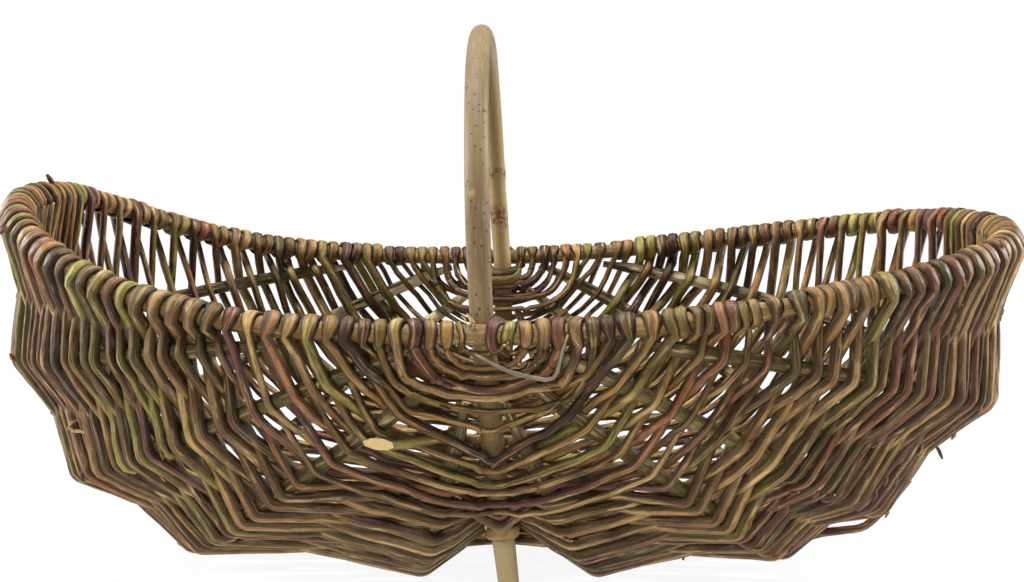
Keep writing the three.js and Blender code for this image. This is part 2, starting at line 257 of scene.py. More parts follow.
def bark_layers(bm):
    tone = bm.verts.layers.float.get("tone") or bm.verts.layers.float.new("tone")
    bark = bm.verts.layers.float_vector.get("bark") or bm.verts.layers.float_vector.new("bark")
    return tone, bark


def grow_rod(stations, tone_value, sides=8, flat_inside=0.0, uneven_ring=0.0):
    """Extrudes a ring through the stations.

    flat_inside planes off the side away from the thick way, and uneven_ring gives the rod low ridges.
    """
    frames = frames_at(stations)
    walked = marks_along([station[0] for station in stations])
    bm = bmesh.new()
    tone, bark = bark_layers(bm)
    bmesh.ops.create_circle(bm, cap_ends=True, radius=1.0, segments=sides)
    size = max(max(station[2:]) for station in stations)
    for v in bm.verts:
        v[tone] = tone_value
        v[bark] = (v.co.x * size, v.co.y * size, 0.0)
    if flat_inside:
        inner = [v for v in bm.verts if v.co.y < -0.1]
        bmesh.ops.scale(bm, vec=(1.0, 1.0 - flat_inside, 1.0), verts=inner)
    for v in bm.verts:
        ridge = 1 + uneven_ring * chance.uniform(-1, 1)
        bmesh.ops.scale(bm, vec=(ridge, ridge, 1.0), verts=[v])
    bmesh.ops.transform(bm, matrix=frames[0], verts=bm.verts[:])
    start_cap = bm.faces[:][0]
    start_cap.material_index = 1
    ring = start_cap.edges[:]
    for i in range(1, len(frames)):
        made = bmesh.ops.extrude_edge_only(bm, edges=ring)["geom"]
        fresh = [g for g in made if isinstance(g, bmesh.types.BMVert)]
        edges = [g for g in made if isinstance(g, bmesh.types.BMEdge)]
        fresh_set = set(fresh)
        ring = [e for e in edges if e.verts[0] in fresh_set and e.verts[1] in fresh_set]
        for g in made:
            if isinstance(g, bmesh.types.BMFace):
                g.smooth = True
                g.material_index = 0
        bmesh.ops.transform(bm, matrix=frames[i] @ frames[i - 1].inverted(), verts=fresh)
        for v in fresh:
            v[bark] = (v[bark].x, v[bark].y, walked[i])
    for face in bmesh.ops.contextual_create(bm, geom=ring)["faces"]:
        face.material_index = 1
        face.smooth = False
    bmesh.ops.recalc_face_normals(bm, faces=bm.faces[:])
    return bm


# %% A cut through a rod
def saw(bm, place, way):
    """Cuts a rod with a plane, drops what lies behind it and closes the cut with pale wood."""
    whole = bm.verts[:] + bm.edges[:] + bm.faces[:]
    cut = bmesh.ops.bisect_plane(bm, geom=whole, plane_co=place, plane_no=way, clear_inner=True)
    edges = [g for g in cut["geom_cut"] if isinstance(g, bmesh.types.BMEdge)]
    sawn = bmesh.ops.holes_fill(bm, edges=edges)["faces"]
    for face in sawn:
        face.material_index = 1
        face.smooth = False
    bmesh.ops.recalc_face_normals(bm, faces=bm.faces[:])
    print("sawn faces:", len(sawn))


# %% [markdown]
# ## Bark and cut wood
# Unpeeled willow is not one colour. Each rod has its own tone, streaks run lengthways, patches fade from
# brown to olive, and small dark pores lie across the grain. Painted light is laid in as well: painted
# shade in the grooves of the wrinkles and along both sides of each rod, painted highlights on the ridges,
# and pale scuffs that are partly wear and partly painted highlight. All of it is made from noise that
# reads the bark attribute, stretched far along the rod, and shifted by the tone so that no two rods match.
# An image could show the same, but noise has no seams and costs no file.

# %% Nodes
def plug(tree, made, inputs):
    """Sets inputs of a node, each to a plain value or to the output of another node."""
    for key, value in inputs.items():
        if isinstance(value, bpy.types.NodeSocket):
            tree.links.new(value, made.inputs[key])
        else:
            made.inputs[key].default_value = value


def node(tree, kind, inputs=None, **settings):
    made = tree.nodes.new(kind)
    for key, value in settings.items():
        setattr(made, key, value)
    plug(tree, made, inputs or {})
    return made


def calc(tree, operation, *values, **settings):
    """One step of arithmetic."""
    inputs = dict(enumerate(values))
    return node(tree, "ShaderNodeMath", inputs, operation=operation, **settings).outputs[0]


def axis(tree, place, number):
    """One coordinate of a place: 0 is X, 1 is Y and 2 is Z."""
    return node(tree, "ShaderNodeSeparateXYZ", {0: place}).outputs[number]


def measure(tree, operation, *places):
    """The length of a vector, or the distance between two places."""
    inputs = dict(enumerate(places))
    return node(tree, "ShaderNodeVectorMath", inputs, operation=operation).outputs["Value"]


def spread(tree, value, low, high, to_low=0.0, to_high=1.0):
    """Stretches a range of a value to another range."""
    inputs = {0: value, 1: low, 2: high, 3: to_low, 4: to_high}
    return node(tree, "ShaderNodeMapRange", inputs, interpolation_type="SMOOTHSTEP").outputs[0]


# %% Patterns
def scaled(tree, place, scale):
    return node(tree, "ShaderNodeMapping", {"Vector": place, "Scale": scale}).outputs[0]


def noise(tree, place, scale, detail=3.0, rough=0.55):
    """Noise in straight-rod coordinates, with its own scale round and along the rod."""
    inputs = {"Vector": scaled(tree, place, scale), "Scale": 1.0, "Detail": detail, "Roughness": rough}
    return node(tree, "ShaderNodeTexNoise", inputs).outputs[0]


def bump(tree, height, strength, distance):
    inputs = {"Height": height, "Strength": strength, "Distance": distance}
    return node(tree, "ShaderNodeBump", inputs).outputs[0]


# %% Colours
def paint(code):
    """A colour as a paint program writes it, in the linear values that shaders use."""
    channels = [int(code[i : i + 2], 16) / 255 for i in (1, 3, 5)]
    linear = [c / 12.92 if c <= 0.04045 else ((c + 0.055) / 1.055) ** 2.4 for c in channels]
    return (*linear, 1.0)


def mix(tree, share, first, second):
    inputs = {0: share, 6: first, 7: second}
    return node(tree, "ShaderNodeMix", inputs, data_type="RGBA").outputs[2]


def layers(tree, colour, rows):
    """Lays colours over a colour. A row is a colour, a value, its range and the shares at both ends."""
    for code, value, *ranges in rows:
        colour = mix(tree, spread(tree, value, *ranges), colour, paint(code))
    return colour


def ramp(tree, share, stops):
    """A row of colours along a share from 0 to 1."""
    made = node(tree, "ShaderNodeValToRGB", {0: share})
    elements = made.color_ramp.elements
    while len(elements) < len(stops):
        elements.new(0.5)
    for element, (place, code) in zip(elements, stops):
        element.position = place
        element.color = paint(code)
    return made.outputs[0]


# %% Willow bark
def new_material(name):
    material = bpy.data.materials.new(name)
    material.use_nodes = True
    return material, material.node_tree, material.node_tree.nodes["Principled BSDF"]


def rod_notes(tree):
    """The rod's tone, the place on its bark moved by the tone, and the plain place."""
    tone = node(tree, "ShaderNodeAttribute", attribute_name="tone").outputs["Fac"]
    plain = node(tree, "ShaderNodeAttribute", attribute_name="bark").outputs["Vector"]
    triple = node(tree, "ShaderNodeCombineXYZ", {0: tone, 1: tone, 2: tone}).outputs[0]
    inputs = {0: triple, 1: (0.31, 0.47, 3.7), 2: plain}
    moved = node(tree, "ShaderNodeVectorMath", inputs, operation="MULTIPLY_ADD").outputs[0]
    return tone, moved, plain


def willow_bark(name, stops, patches, depth=0.5, painted_edge_shade=0.65):
    """Bark whose colour follows the rod's tone, with two kinds of patches, wrinkles, scuffs and pores.

    The grooves of the wrinkles carry painted shade and their ridges a painted highlight, the pale scuffs
    are partly wear and partly painted highlight, and the last argument sets how much painted shade
    darkens both sides of the rod.
    """
    material, tree, shader = new_material(name)
    tone, place, plain = rod_notes(tree)
    wrinkle = noise(tree, place, (640, 640, 30), 4.0)
    mottle = noise(tree, place, (330, 330, 110), 4.0, 0.6)
    scuff_and_highlight = noise(tree, place, (230, 230, 60), 4.0, 0.6)
    drift = noise(tree, place, (9, 9, 7), 2.0)
    cells = {"Vector": scaled(tree, place, (300, 300, 140)), "Scale": 1.0}
    pore = node(tree, "ShaderNodeTexVoronoi", cells).outputs[0]
    across = calc(tree, "ABSOLUTE", axis(tree, plain, 0))
    tone_here = calc(tree, "ADD", tone, spread(tree, drift, 0.32, 0.68, -0.3, 0.3))
    rows = [
        (patches[0], noise(tree, place, (75, 75, 14)), 0.5, 0.64, 0.0, 0.7),
        (patches[1], noise(tree, place, (95, 95, 21)), 0.54, 0.66, 0.0, 0.65),
        ("#2c1b0e", mottle, 0.36, 0.56, depth, 0.0),
        # Painted shade in the grooves of the wrinkles.
        ("#21140a", wrinkle, 0.36, 0.5, 0.8 * depth, 0.0),
        # Painted highlight on the ridges of the wrinkles.
        ("#c6a66c", wrinkle, 0.55, 0.68, 0.0, 0.42),
        # Pale scuffs, partly worn bark and partly a painted highlight.
        ("#c9ac74", scuff_and_highlight, 0.55, 0.71, 0.0, 0.64),
        ("#1b1008", pore, 0.1, 0.24, 0.3, 0.0),
        # Painted shade: both sides of the rod are darkened where it lies against its neighbours.
        ("#1a1009", across, 1.7 * MM, 3.4 * MM, 0.0, painted_edge_shade),
    ]
    finish = {
        "Base Color": layers(tree, ramp(tree, tone_here, stops), rows),
        "Roughness": spread(tree, mottle, 0.3, 0.7, 0.6, 0.4),
        "Normal": bump(tree, calc(tree, "MULTIPLY_ADD", wrinkle, 1.1, mottle), 0.9, 1.2 * MM),
        "Specular IOR Level": 0.26,
    }
    plug(tree, shader, finish)
    return material


# %% Barks of the weavers and the rim
BROWNS = [(0.0, "#3b2714"), (0.25, "#7f582d"), (0.5, "#a17944"), (0.75, "#573b20"), (1.0, "#b8945c")]
REDS = [(0.0, "#3d211a"), (0.35, "#7e4a2e"), (0.65, "#5c3633"), (1.0, "#986641")]
GREENS = [(0.0, "#4a3d1a"), (0.4, "#8a7832"), (0.7, "#634f22"), (1.0, "#8c8539")]
TANS = [(0.0, "#856538"), (1.0, "#9d7d48")]
weaver_bark = {
    "brown": willow_bark("weaver_brown", BROWNS, ["#77622b", "#673f27"]),
    "red": willow_bark("weaver_red", REDS, ["#745428", "#684831"]),
    "green": willow_bark("weaver_green", GREENS, ["#79542a", "#664227"]),
}
rim_bark = willow_bark("rim_bark", TANS, ["#7d6b38", "#795734"], 0.35, 0.2)
print("weaver barks:", sorted(weaver_bark))


# %% Cut ends
def cut_wood():
    """Pale wood with faint growth rings, for the sawn and cut ends."""
    material, tree, shader = new_material("cut_wood")
    tone, place, plain = rod_notes(tree)
    from_pith = measure(tree, "LENGTH", scaled(tree, plain, (1, 1, 0)))
    rings = calc(tree, "SINE", calc(tree, "MULTIPLY", from_pith, 5200.0))
    grain = noise(tree, place, (900, 900, 300))
    wood = mix(tree, grain, paint("#b8965c"), paint("#d9c08c"))
    finish = {
        "Base Color": layers(tree, wood, [("#a9834d", rings, 0.2, 1.0, 0.0, 0.25)]),
        "Roughness": 0.75,
        "Normal": bump(tree, grain, 0.4, 0.4 * MM),
    }
    plug(tree, shader, finish)
    return material


cut_end = cut_wood()


# %% Rib bark, pared to pale wood on the inside near the ears
def rib_bark_with_peel():
    khaki = [(0.0, "#494025"), (0.5, "#5a4e2c"), (1.0, "#837747")]
    material = willow_bark("rib_bark", khaki, ["#5c5630", "#57482f"], 0.35, 0.0)
    tree = material.node_tree
    shader = tree.nodes["Principled BSDF"]
    bark_colour = shader.inputs["Base Color"].links[0].from_socket
    tone, place, plain = rod_notes(tree)
    here = node(tree, "ShaderNodeTexCoord").outputs["Object"]
    inner_face = spread(tree, axis(tree, plain, 1), -2.2 * MM, -1.2 * MM, 1.0, 0.0)
    torn = spread(tree, noise(tree, place, (160, 160, 18), 4.0), 0.42, 0.52)
    near_ear = spread(tree, calc(tree, "ABSOLUTE", axis(tree, here, 0)), 0.132, 0.155, 1.0, 0.0)
    share = calc(tree, "MULTIPLY", calc(tree, "MULTIPLY", inner_face, torn), near_ear)
    grain = noise(tree, place, (700, 700, 20), 4.0)
    wood = mix(tree, grain, paint("#c9ad78"), paint("#f0e0b8"))
    plug(tree, shader, {"Base Color": mix(tree, share, bark_colour, wood)})
    return material


rib_bark = rib_bark_with_peel()

# %% Marks on the handle, in millimetres
SCARS = [
    ((-21.6, -180, 243.7), 2.6, "#a3884f"),
    ((-25, -146.1, 298), 1.7, "#2a1c10"),
    ((-15.7, -158.5, 285.9), 1.7, "#2a1c10"),
    ((-17.3, -94.7, 327.4), 2.2, "#6b4f2c"),
]
KNOTS = [{"height": 236, "mark": 6, "swell": 0.1, "reach": 5}]
KNOTS += [{"height": 203, "mark": 13, "swell": 0.05, "reach": 12}]


# %% Handle bark
def rolled_pores(tree, place, plain):
    """Dark dots on the bark as if it were rolled out flat: the angle round the rod and the way along."""
    angle = calc(tree, "ARCTAN2", axis(tree, plain, 1), axis(tree, plain, 0))
    rolled = node(tree, "ShaderNodeCombineXYZ", {0: angle, 1: axis(tree, plain, 2)}).outputs[0]
    cells = {"Vector": scaled(tree, rolled, (1.05, 150, 1)), "Scale": 1.0}
    pore = node(tree, "ShaderNodeTexVoronoi", cells, voronoi_dimensions="2D").outputs["Distance"]
    chosen = spread(tree, noise(tree, place, (90, 90, 60), 1.0), 0.42, 0.5)
    return calc(tree, "MULTIPLY", spread(tree, pore, 0.07, 0.13, 0.9, 0.0), chosen)


def knot_share(tree, knot, height, back, rough):
    """Where the bark of the back leg is torn round a knot."""
    middle, reach = knot["height"] * MM, knot["mark"] * MM
    below = spread(tree, height, middle - reach, middle)
    above = spread(tree, height, middle, middle + reach, 1.0, 0.0)
    share = calc(tree, "MULTIPLY", calc(tree, "MULTIPLY", below, above), back)
    return calc(tree, "MULTIPLY", share, spread(tree, rough, 0.38, 0.62, 0.0, 1.6), use_clamp=True)


def smooth_bark():
    """The thick rod has younger, smoother bark: tan, with fine cracks, dark pores and a few bud scars.

    Painted light makes the back leg and the feet paler, and painted shade darkens the top of the arch
    and the legs where they run through the woven wall.
    """
    material, tree, shader = new_material("handle_bark")
    tone, place, plain = rod_notes(tree)
    streak = noise(tree, place, (260, 260, 9), 6.0, 0.6)
    fine = noise(tree, place, (1100, 1100, 60))
    patch = noise(tree, place, (38, 38, 10))
    here = node(tree, "ShaderNodeTexCoord").outputs["Object"]
    height = axis(tree, here, 2)
    back = spread(tree, axis(tree, here, 1), 0.02, 0.17)

    colour = mix(tree, spread(tree, patch, 0.35, 0.68), paint("#735e3b"), paint("#8a7653"))
    streaks = [("#5f4b2a", streak, 0.35, 0.6, 0.42, 0.0), ("#ab9a78", fine, 0.54, 0.7, 0.0, 0.4)]
    colour = layers(tree, colour, streaks)
    dot = rolled_pores(tree, place, plain)
    colour = mix(tree, dot, colour, paint("#3a2314"))
    for middle, radius, code in SCARS:
        away = measure(tree, "DISTANCE", here, [c * MM for c in middle])
        colour = layers(tree, colour, [(code, away, 0.5 * radius * MM, radius * MM, 0.85, 0.0)])
    # Painted light: the back leg is made paler, as if lit from behind.
    colour = layers(tree, colour, [("#b89a60", back, 0.0, 1.0, 0.0, 0.4)])
    rough = noise(tree, place, (300, 300, 260), 4.0)
    for knot in KNOTS:
        colour = mix(tree, knot_share(tree, knot, height, back, rough), colour, paint("#64431f"))
    # Painted shade: the legs are darker from just above the feet up to the rim, where they run through the
    # woven wall.
    below_rim = spread(tree, height, 0.155, 0.175, 1.0, 0.0)
    above_foot = spread(tree, height, 0.036, 0.048, 0.0, 0.6)
    painted_shade_in_wall = calc(tree, "MULTIPLY", below_rim, above_foot)
    colour = mix(tree, painted_shade_in_wall, colour, paint("#68582f"))
    # Painted shade darkens the top of the arch, and painted light makes the feet paler.
    painted_top_shade_and_foot_light = [("#665640", height, 0.2, 0.32, 0.0, 0.4), ("#ab9a68", height, 0.03, 0.045, 0.55, 0.0)]
    finish = {
        "Base Color": layers(tree, colour, painted_top_shade_and_foot_light),
        "Roughness": spread(tree, patch, 0.3, 0.7, 0.68, 0.56),
        "Normal": bump(tree, calc(tree, "MULTIPLY_ADD", dot, 1.5, streak), 0.3, 0.5 * MM),
        "Specular IOR Level": 0.3,
    }
    plug(tree, shader, finish)
    return material


handle_bark = smooth_bark()
print("materials:", len(bpy.data.materials))


# %% Several rods in one object
def make_piece(name, rods, bark, slot, *nodes):
    """Joins rods into one object that rides on the basket and stands for the named CAD nodes."""
    whole = bmesh.new()
    bark_layers(whole)
    for rod in rods:
        part = bpy.data.meshes.new("part")
        rod.to_mesh(part)
        rod.free()
        whole.from_mesh(part)
        bpy.data.meshes.remove(part)
    mesh = bpy.data.meshes.new(name)
    whole.to_mesh(mesh)
    whole.free()
    mesh.materials.append(bark)
    mesh.materials.append(cut_end)
    piece = bpy.data.objects.new(name, mesh)
    bpy.context.collection.objects.link(piece)
    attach(piece, "root")
    if nodes:
        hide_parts(*nodes)
    triangles = sum(len(p.vertices) - 2 for p in mesh.polygons)
    print(name, "rods:", len(rods), "triangles:", triangles)


# %% [markdown]
# ## The weave
# Sixty rows fill the front half and fifty-four the back, and one weaver makes two of them. It comes over
# the rim at the left, crosses to the right rim, outside one rib and inside the next, winds round the rim
# there, and comes back as the next row on the other side of every rib, which is what locks the weave.
# The rim is longer than the belly, so towards the ends the wall is packed with short weavers that turn
# back at the second or third rib.
#
# A weave can also be drawn as a bump on a sheet, but here daylight shows between the rods and every bend
# is seen from close by, so each rod is real.

# %% Where the rows cross a rod
ROWS = {FRONT: 60, BACK: 54}
FIRST_PACKED = {FRONT: 37, BACK: 49}
BELLY_ROWS = {FRONT: 26, BACK: 22}
NEAR_ROWS = 15
ARC_ROWS = 12


def packed(row, end):
    """Whether a short weaver follows this row."""
    return row % 2 == 1 and row >= FIRST_PACKED[end]


def turning_rib(row):
    """The rib at which that short weaver turns back: the shoulder rib or the lower one."""
    return 2 if row % 4 == 3 else 1


def lay_rows(length, end, clear, near_pitch, far_pitch, rib=0):
    """Distances along a rod: close near the ear, wide along the side, packed towards the end.

    The keys are (row, 0) for a row and (row, 1) and (row, 2) for the short weaver after it.
    """
    order = []
    zones = []
    for row in range(ROWS[end]):
        passes = 3 if packed(row, end) and turning_rib(row) >= rib else 1
        order += [(row, part) for part in range(passes)]
        zones += [0 if row < NEAR_ROWS else 1 if row < FIRST_PACKED[end] else 2] * passes
    zones = np.array(zones)
    wide = length - clear - near_pitch * np.sum(zones == 0) - far_pitch * np.sum(zones == 2)
    pitches = np.choose(zones, [near_pitch, wide / np.sum(zones == 1), far_pitch])
    places = clear + np.cumsum(pitches) - pitches / 2
    return dict(zip(order, places))


# %% Rows on the rim, the ribs and the keel
RIM_CLEAR, RIM_NEAR_PITCH, RIM_FAR_PITCH = 9.7 * MM, 4.3 * MM, 4.5 * MM
RIB_CLEAR = 6 * MM
RIB_NEAR_PITCH = [3.6 * MM, 3.0 * MM, 2.4 * MM]
RIB_FAR_PITCH = [4.4 * MM, 4.2 * MM, 4.6 * MM]
BELLY_FROM = 62 * MM
LAST_CLEAR = 2.4 * MM
rim_rows = {}
for (side, end), route in rims.items():
    rim_rows[side, end] = lay_rows(route.length, end, RIM_CLEAR, RIM_NEAR_PITCH, RIM_FAR_PITCH)
rib_rows = {}
for (side, order, end), route in ribs.items():
    if order < 3:
        pitches = (RIB_NEAR_PITCH[order], RIB_FAR_PITCH[order])
        rib_rows[side, order, end] = lay_rows(route.length, end, RIB_CLEAR, *pitches, order)
    else:
        reached = [BELLY_FROM, route.length - LAST_CLEAR]
        places = np.interp(range(ROWS[end]), [BELLY_ROWS[end], ROWS[end] - 1], reached)
        rib_rows[side, order, end] = {(row, 0): place for row, place in enumerate(places)}
keel_rows = {}
for end, line in keels.items():
    reached = [11.5 * MM, 39 * MM, 52 * MM, 69 * MM, 115 * MM, line.length - LAST_CLEAR]
    marks = [0, 10, 13, 15, BELLY_ROWS[end] + 1, ROWS[end] - 1]
    keel_rows[end] = np.interp(range(ROWS[end]), marks, reached)
print("passes on a rim quarter:", len(rim_rows[LEFT, FRONT]))


# %% Where the ribs join the weave
WEAVER_ROOM = 4.0 * MM


def rib_starts(side, end):
    """How far along each rib the weave has room to pass between it and its neighbours."""
    found = []
    for order in range(4):
        rib = ribs[side, order, end]
        start = rib.clear_of(rims[side, end], RIM_RADIUS + RIB_RADIUS + WEAVER_ROOM)
        start = max(start, rib.clear_of(keels[end], HANDLE_RADIUS + RIB_RADIUS + WEAVER_ROOM))
        if order > 0:
            start = max(start, rib.clear_of(ribs[side, order - 1, end], 2 * RIB_RADIUS + WEAVER_ROOM))
        found.append(start)
    return found


starts = {(side, end): rib_starts(side, end) for side, end in QUARTERS}
for key, found in starts.items():
    print("ribs start at mm:", key, [round(s / MM) for s in found])

# %% Turns round the rim
WRAP_PITCH = 8.3 * MM
WIDEST_STEP = 9.6 * MM
RETURN_STEP = 3.6 * MM


class RimTurns:
    """The turns that join two passes at the rim: how many, and where the first and last lie."""

    def __init__(self, first_pass, second_pass):
        room = 2 * (second_pass - first_pass)
        self.count = max(1, round(room / WRAP_PITCH + chance.uniform(-0.25, 0.25)))
        centre = (first_pass + second_pass) / 2 + chance.uniform(-0.8, 0.8) * MM
        self.room = room / self.count
        self.step = min(self.room, WIDEST_STEP) * chance.uniform(0.92, 1.02)
        self.first = centre - (self.count - 1) / 2 * self.step
        self.last = centre + (self.count - 1) / 2 * self.step


turns = {}
next_turns = {}
for (side, end), marks in rim_rows.items():
    passes = list(marks)
    for i in range(0, len(passes), 2):
        pair = (max(i - 1, 0), i) if side == LEFT else (i, i + 1)
        turns[side, end, passes[i]] = RimTurns(marks[passes[pair[0]]], marks[passes[pair[1]]])
        next_turns[side, end, passes[i + 1]] = passes[i + 2] if i + 2 < len(passes) else None
print("turns on the front rim:", sum(t.count for key, t in turns.items() if key[1] == FRONT))


def rim_end(side, end, key):
    """Where a pass meets the rim: passes that come over it outside, then those that leave inside."""
    if (side, end, key) in turns:
        found = turns[side, end, key]
        return found.last if side == LEFT else found.first
    row, part = key
    if side == LEFT:
        follower = next_turns[side, end, key]
        return turns[side, end, follower].first if follower else rim_rows[side, end][key]
    before = turns[side, end, (row, 1) if part == 2 else (row - 1, 0)]
    return before.last + (RETURN_STEP if part == 2 else 0)


# %% One crossing
class Crossing:
    """A place where a row meets a rod, with the wall's directions there."""

    def __init__(self, point, along, turn, inside_reach, outside_reach, bend, outward=None):
        self.point = point
        self.outward = outward
        self.along = along
        self.turn = turn
        self.reach = {-1: inside_reach, 1: outside_reach}
        self.bend = bend


def face_the_wall(found, parity, end):
    """Gives each crossing its directions, and the side of the rod on which the row passes."""
    inside = np.array([0, 0, RIM_LOW_HEIGHT])
    for i, crossing in enumerate(found):
        across = found[min(i + 1, len(found) - 1)].point - found[max(i - 1, 0)].point
        crossing.across = unit(across - crossing.along * across.dot(crossing.along))
        if crossing.outward is None:
            crossing.outward = unit(np.cross(crossing.along, crossing.across))
            if crossing.outward.dot(crossing.point - inside) < 0:
                crossing.outward = -crossing.outward
        even = (parity + crossing.turn + (1 if end == BACK else 0)) % 2 == 0
        crossing.side = 1 if even else -1
    return found


# %% Crossings with the leg and the keel
ON_LEG = 3 * MM
BESIDE_LEG = 18 * MM


def middle_crossing(end, row, thick):
    """The crossing in the middle: on the leg, then inside it, then round the keel rod."""
    line = keels[end]
    walked = keel_rows[end][row] + chance.uniform(-1.5, 1.5) * MM
    point = line.at(walked)
    way = line.heading(walked)
    apart = legs[end].gap(point)
    bend, turn, bulge = (14 * MM, 4, 2.6 * MM) if row < ARC_ROWS else (6 * MM, 5, 0)
    reach = RIB_RADIUS + thick
    if apart < ON_LEG:
        reach_in = max(HANDLE_RADIUS - apart, 0) + thick
        return Crossing(point, way, turn, reach_in, apart + HANDLE_RADIUS + thick + bulge, bend)
    if apart < BESIDE_LEG:
        return Crossing(point, way, 5, reach, -reach, bend)
    return Crossing(point, way, 5, reach, reach, bend)


# %% Crossings with the rim and the ribs
WIDE_SLIP, CLOSE_SLIP = 2.7 * MM, 1.6 * MM
WIDE_BEND, CLOSE_BEND = 12 * MM, 3.8 * MM


def rib_crossing(side, order, end, key, thick):
    route = ribs[side, order, end]
    slip = WIDE_SLIP if NEAR_ROWS < key[0] < FIRST_PACKED[end] else CLOSE_SLIP
    walked = rib_rows[side, order, end][key] + chance.uniform(-slip, slip)
    reach = RIB_RADIUS + thick
    return Crossing(route.at(walked), route.heading(walked), order + 1, reach, reach, CLOSE_BEND)


def rim_crossing(side, end, key):
    walked = rim_end(side, end, key)
    route = rims[side, end]
    crossing = Crossing(route.at(walked), route.heading(walked), 0, 0, 0, 0)
    crossing.route = route
    return crossing


def over_the_belly_rib(side, end, middle, outer, thick):
    """While the belly rib still lies beside the leg, a row passes both on the same side."""
    route = ribs[side, 3, end]
    way = outer.point - middle.point
    share = np.clip((route.points - middle.point) @ way / way.dot(way), 0, 1)
    apart = np.linalg.norm(route.points - middle.point - share[:, None] * way, axis=1)
    spot = int(np.argmin(apart))
    reach = RIB_RADIUS + thick
    return Crossing(route.points[spot], route.heading(route.marks[spot]), 5, reach, reach, WIDE_BEND)


# %% Crossings from the rim to the middle
def arc_crossings(end, rim_place, middle):
    """Under the ear, where no rib has room yet, a row hangs in a round arc."""
    span = rim_place.point - middle.point
    ear = np.array([EAR_X[end], rim_place.point[1], RIM_LOW_HEIGHT])
    straight_out = np.array([0.0, end, 0.0])
    found = []
    square = chance.uniform(0.55, 0.9)
    for angle, reach in ((0.3, 11), (0.62, 12), (1.0, 12.5)):
        angle += chance.uniform(-0.12, 0.12)
        drop = math.sin(angle) ** square
        spot = middle.point + span * np.array([math.cos(angle) ** square, 1 - drop, 1 - drop])
        spot[2] += chance.uniform(-1.4, 1.4) * MM
        reach += chance.uniform(-1.0, 1.0)
        way = unit(spot - ear)
        found.append(Crossing(spot, way, 4, 3 * MM, reach * MM, WIDE_BEND, straight_out))
    return found


def side_crossings(side, end, row, rim_place, middle, thick):
    """The crossings of a row between the rim and the middle."""
    if row < ARC_ROWS:
        return arc_crossings(end, rim_place, middle)
    key = (row, 0)
    joined = [o for o in range(3) if rib_rows[side, o, end][key] >= starts[side, end][o]]
    if row >= BELLY_ROWS[end]:
        joined.append(3)
    found = [rib_crossing(side, order, end, key, thick) for order in joined]
    if row < BELLY_ROWS[end] and found:
        found.append(over_the_belly_rib(side, end, middle, found[-1], thick))
    return found


# %% All crossings of a row
def row_crossings(end, row, thick):
    """All crossings of a row from the left rim to the right rim."""
    left = rim_crossing(LEFT, end, (row, 0))
    right = rim_crossing(RIGHT, end, (row, 0))
    middle = middle_crossing(end, row, thick)
    found = [left, *side_crossings(LEFT, end, row, left, middle, thick), middle]
    found += side_crossings(RIGHT, end, row, right, middle, thick)[::-1]
    found.append(right)
    return face_the_wall(found, row, end)


def short_crossings(side, end, key, thick):
    """The crossings of one half of a short weaver, from the rim to the rib where it turns."""
    row, part = key
    found = [rim_crossing(side, end, key)]
    found += [rib_crossing(side, order, end, key, thick) for order in range(turning_rib(row) + 1)]
    return face_the_wall(found, part + 1, end)


# %% The turns round the rim as stations
REACH_ANGLE = 26
FLATTENING_ANGLE = 55
FLATTENED = 0.46
STATION_ANGLE = 20
SLIDE_FROM, SLIDE_FOR = 20, 150


def ease(share):
    share = min(max(share, 0.0), 1.0)
    return share * share * (3 - 2 * share)


def rim_wrap(crossing, up_sign, rim_turns, onwards, half_width):
    """Stations from where a row reaches the rim, round it, to where the joined row leaves."""
    up = crossing.across * up_sign
    out = crossing.outward * crossing.side
    total = 180 + 2 * REACH_ANGLE + 360 * (rim_turns.count - 1)
    from_place, way = (rim_turns.first, 1) if onwards else (rim_turns.last, -1)
    lean = chance.uniform(-1.1, 1.1) * MM
    fill = min(rim_turns.room * chance.uniform(0.4, 0.49), half_width + 1.9 * MM)
    wide = max(0.12, fill / half_width - 1)
    found = []
    for turned in np.linspace(0, total, round(total / STATION_ANGLE)):
        flat = ease(turned / FLATTENING_ANGLE) * ease((total - turned) / FLATTENING_ANGLE)
        width = half_width * (1 + wide * flat)
        depth = half_width * (1 - FLATTENED * flat)
        angle = math.radians(turned - REACH_ANGLE)
        radial = out * math.cos(angle) + up * math.sin(angle)
        rounds, part = divmod(turned - REACH_ANGLE - 180, 360)
        slide = rounds + ease((part - SLIDE_FROM) / SLIDE_FOR)
        done = slide if turned > 180 + REACH_ANGLE else 0.0
        moved = way * rim_turns.step * min(done, rim_turns.count - 1)
        centre = crossing.route.at(from_place + moved + lean * math.sin(2 * angle))
        found.append((centre + radial * (RIM_RADIUS + depth), radial, width, depth))
    return found


# %% Bends at the ribs
RUN_STEP = 11 * MM
LARGEST_SHARE = 0.48


def bend_reach(before, after, bend):
    """How far a bend reaches along the two runs that meet in it."""
    return min(bend, LARGEST_SHARE * np.linalg.norm(before), LARGEST_SHARE * np.linalg.norm(after))


def keep_off_the_ribs(corners, normals, bends, crossings):
    """A rounded bend cuts its corner, so each corner moves out by what the rounding takes off."""
    moved = list(corners)
    for i in range(1, len(corners) - 1):
        before = corners[i - 1] - corners[i]
        after = corners[i + 1] - corners[i]
        taken = bend_reach(before, after, bends[i]) / 4 * abs((unit(before) + unit(after)).dot(normals[i]))
        moved[i] = corners[i] + normals[i] * crossings[i].side * taken
    return moved


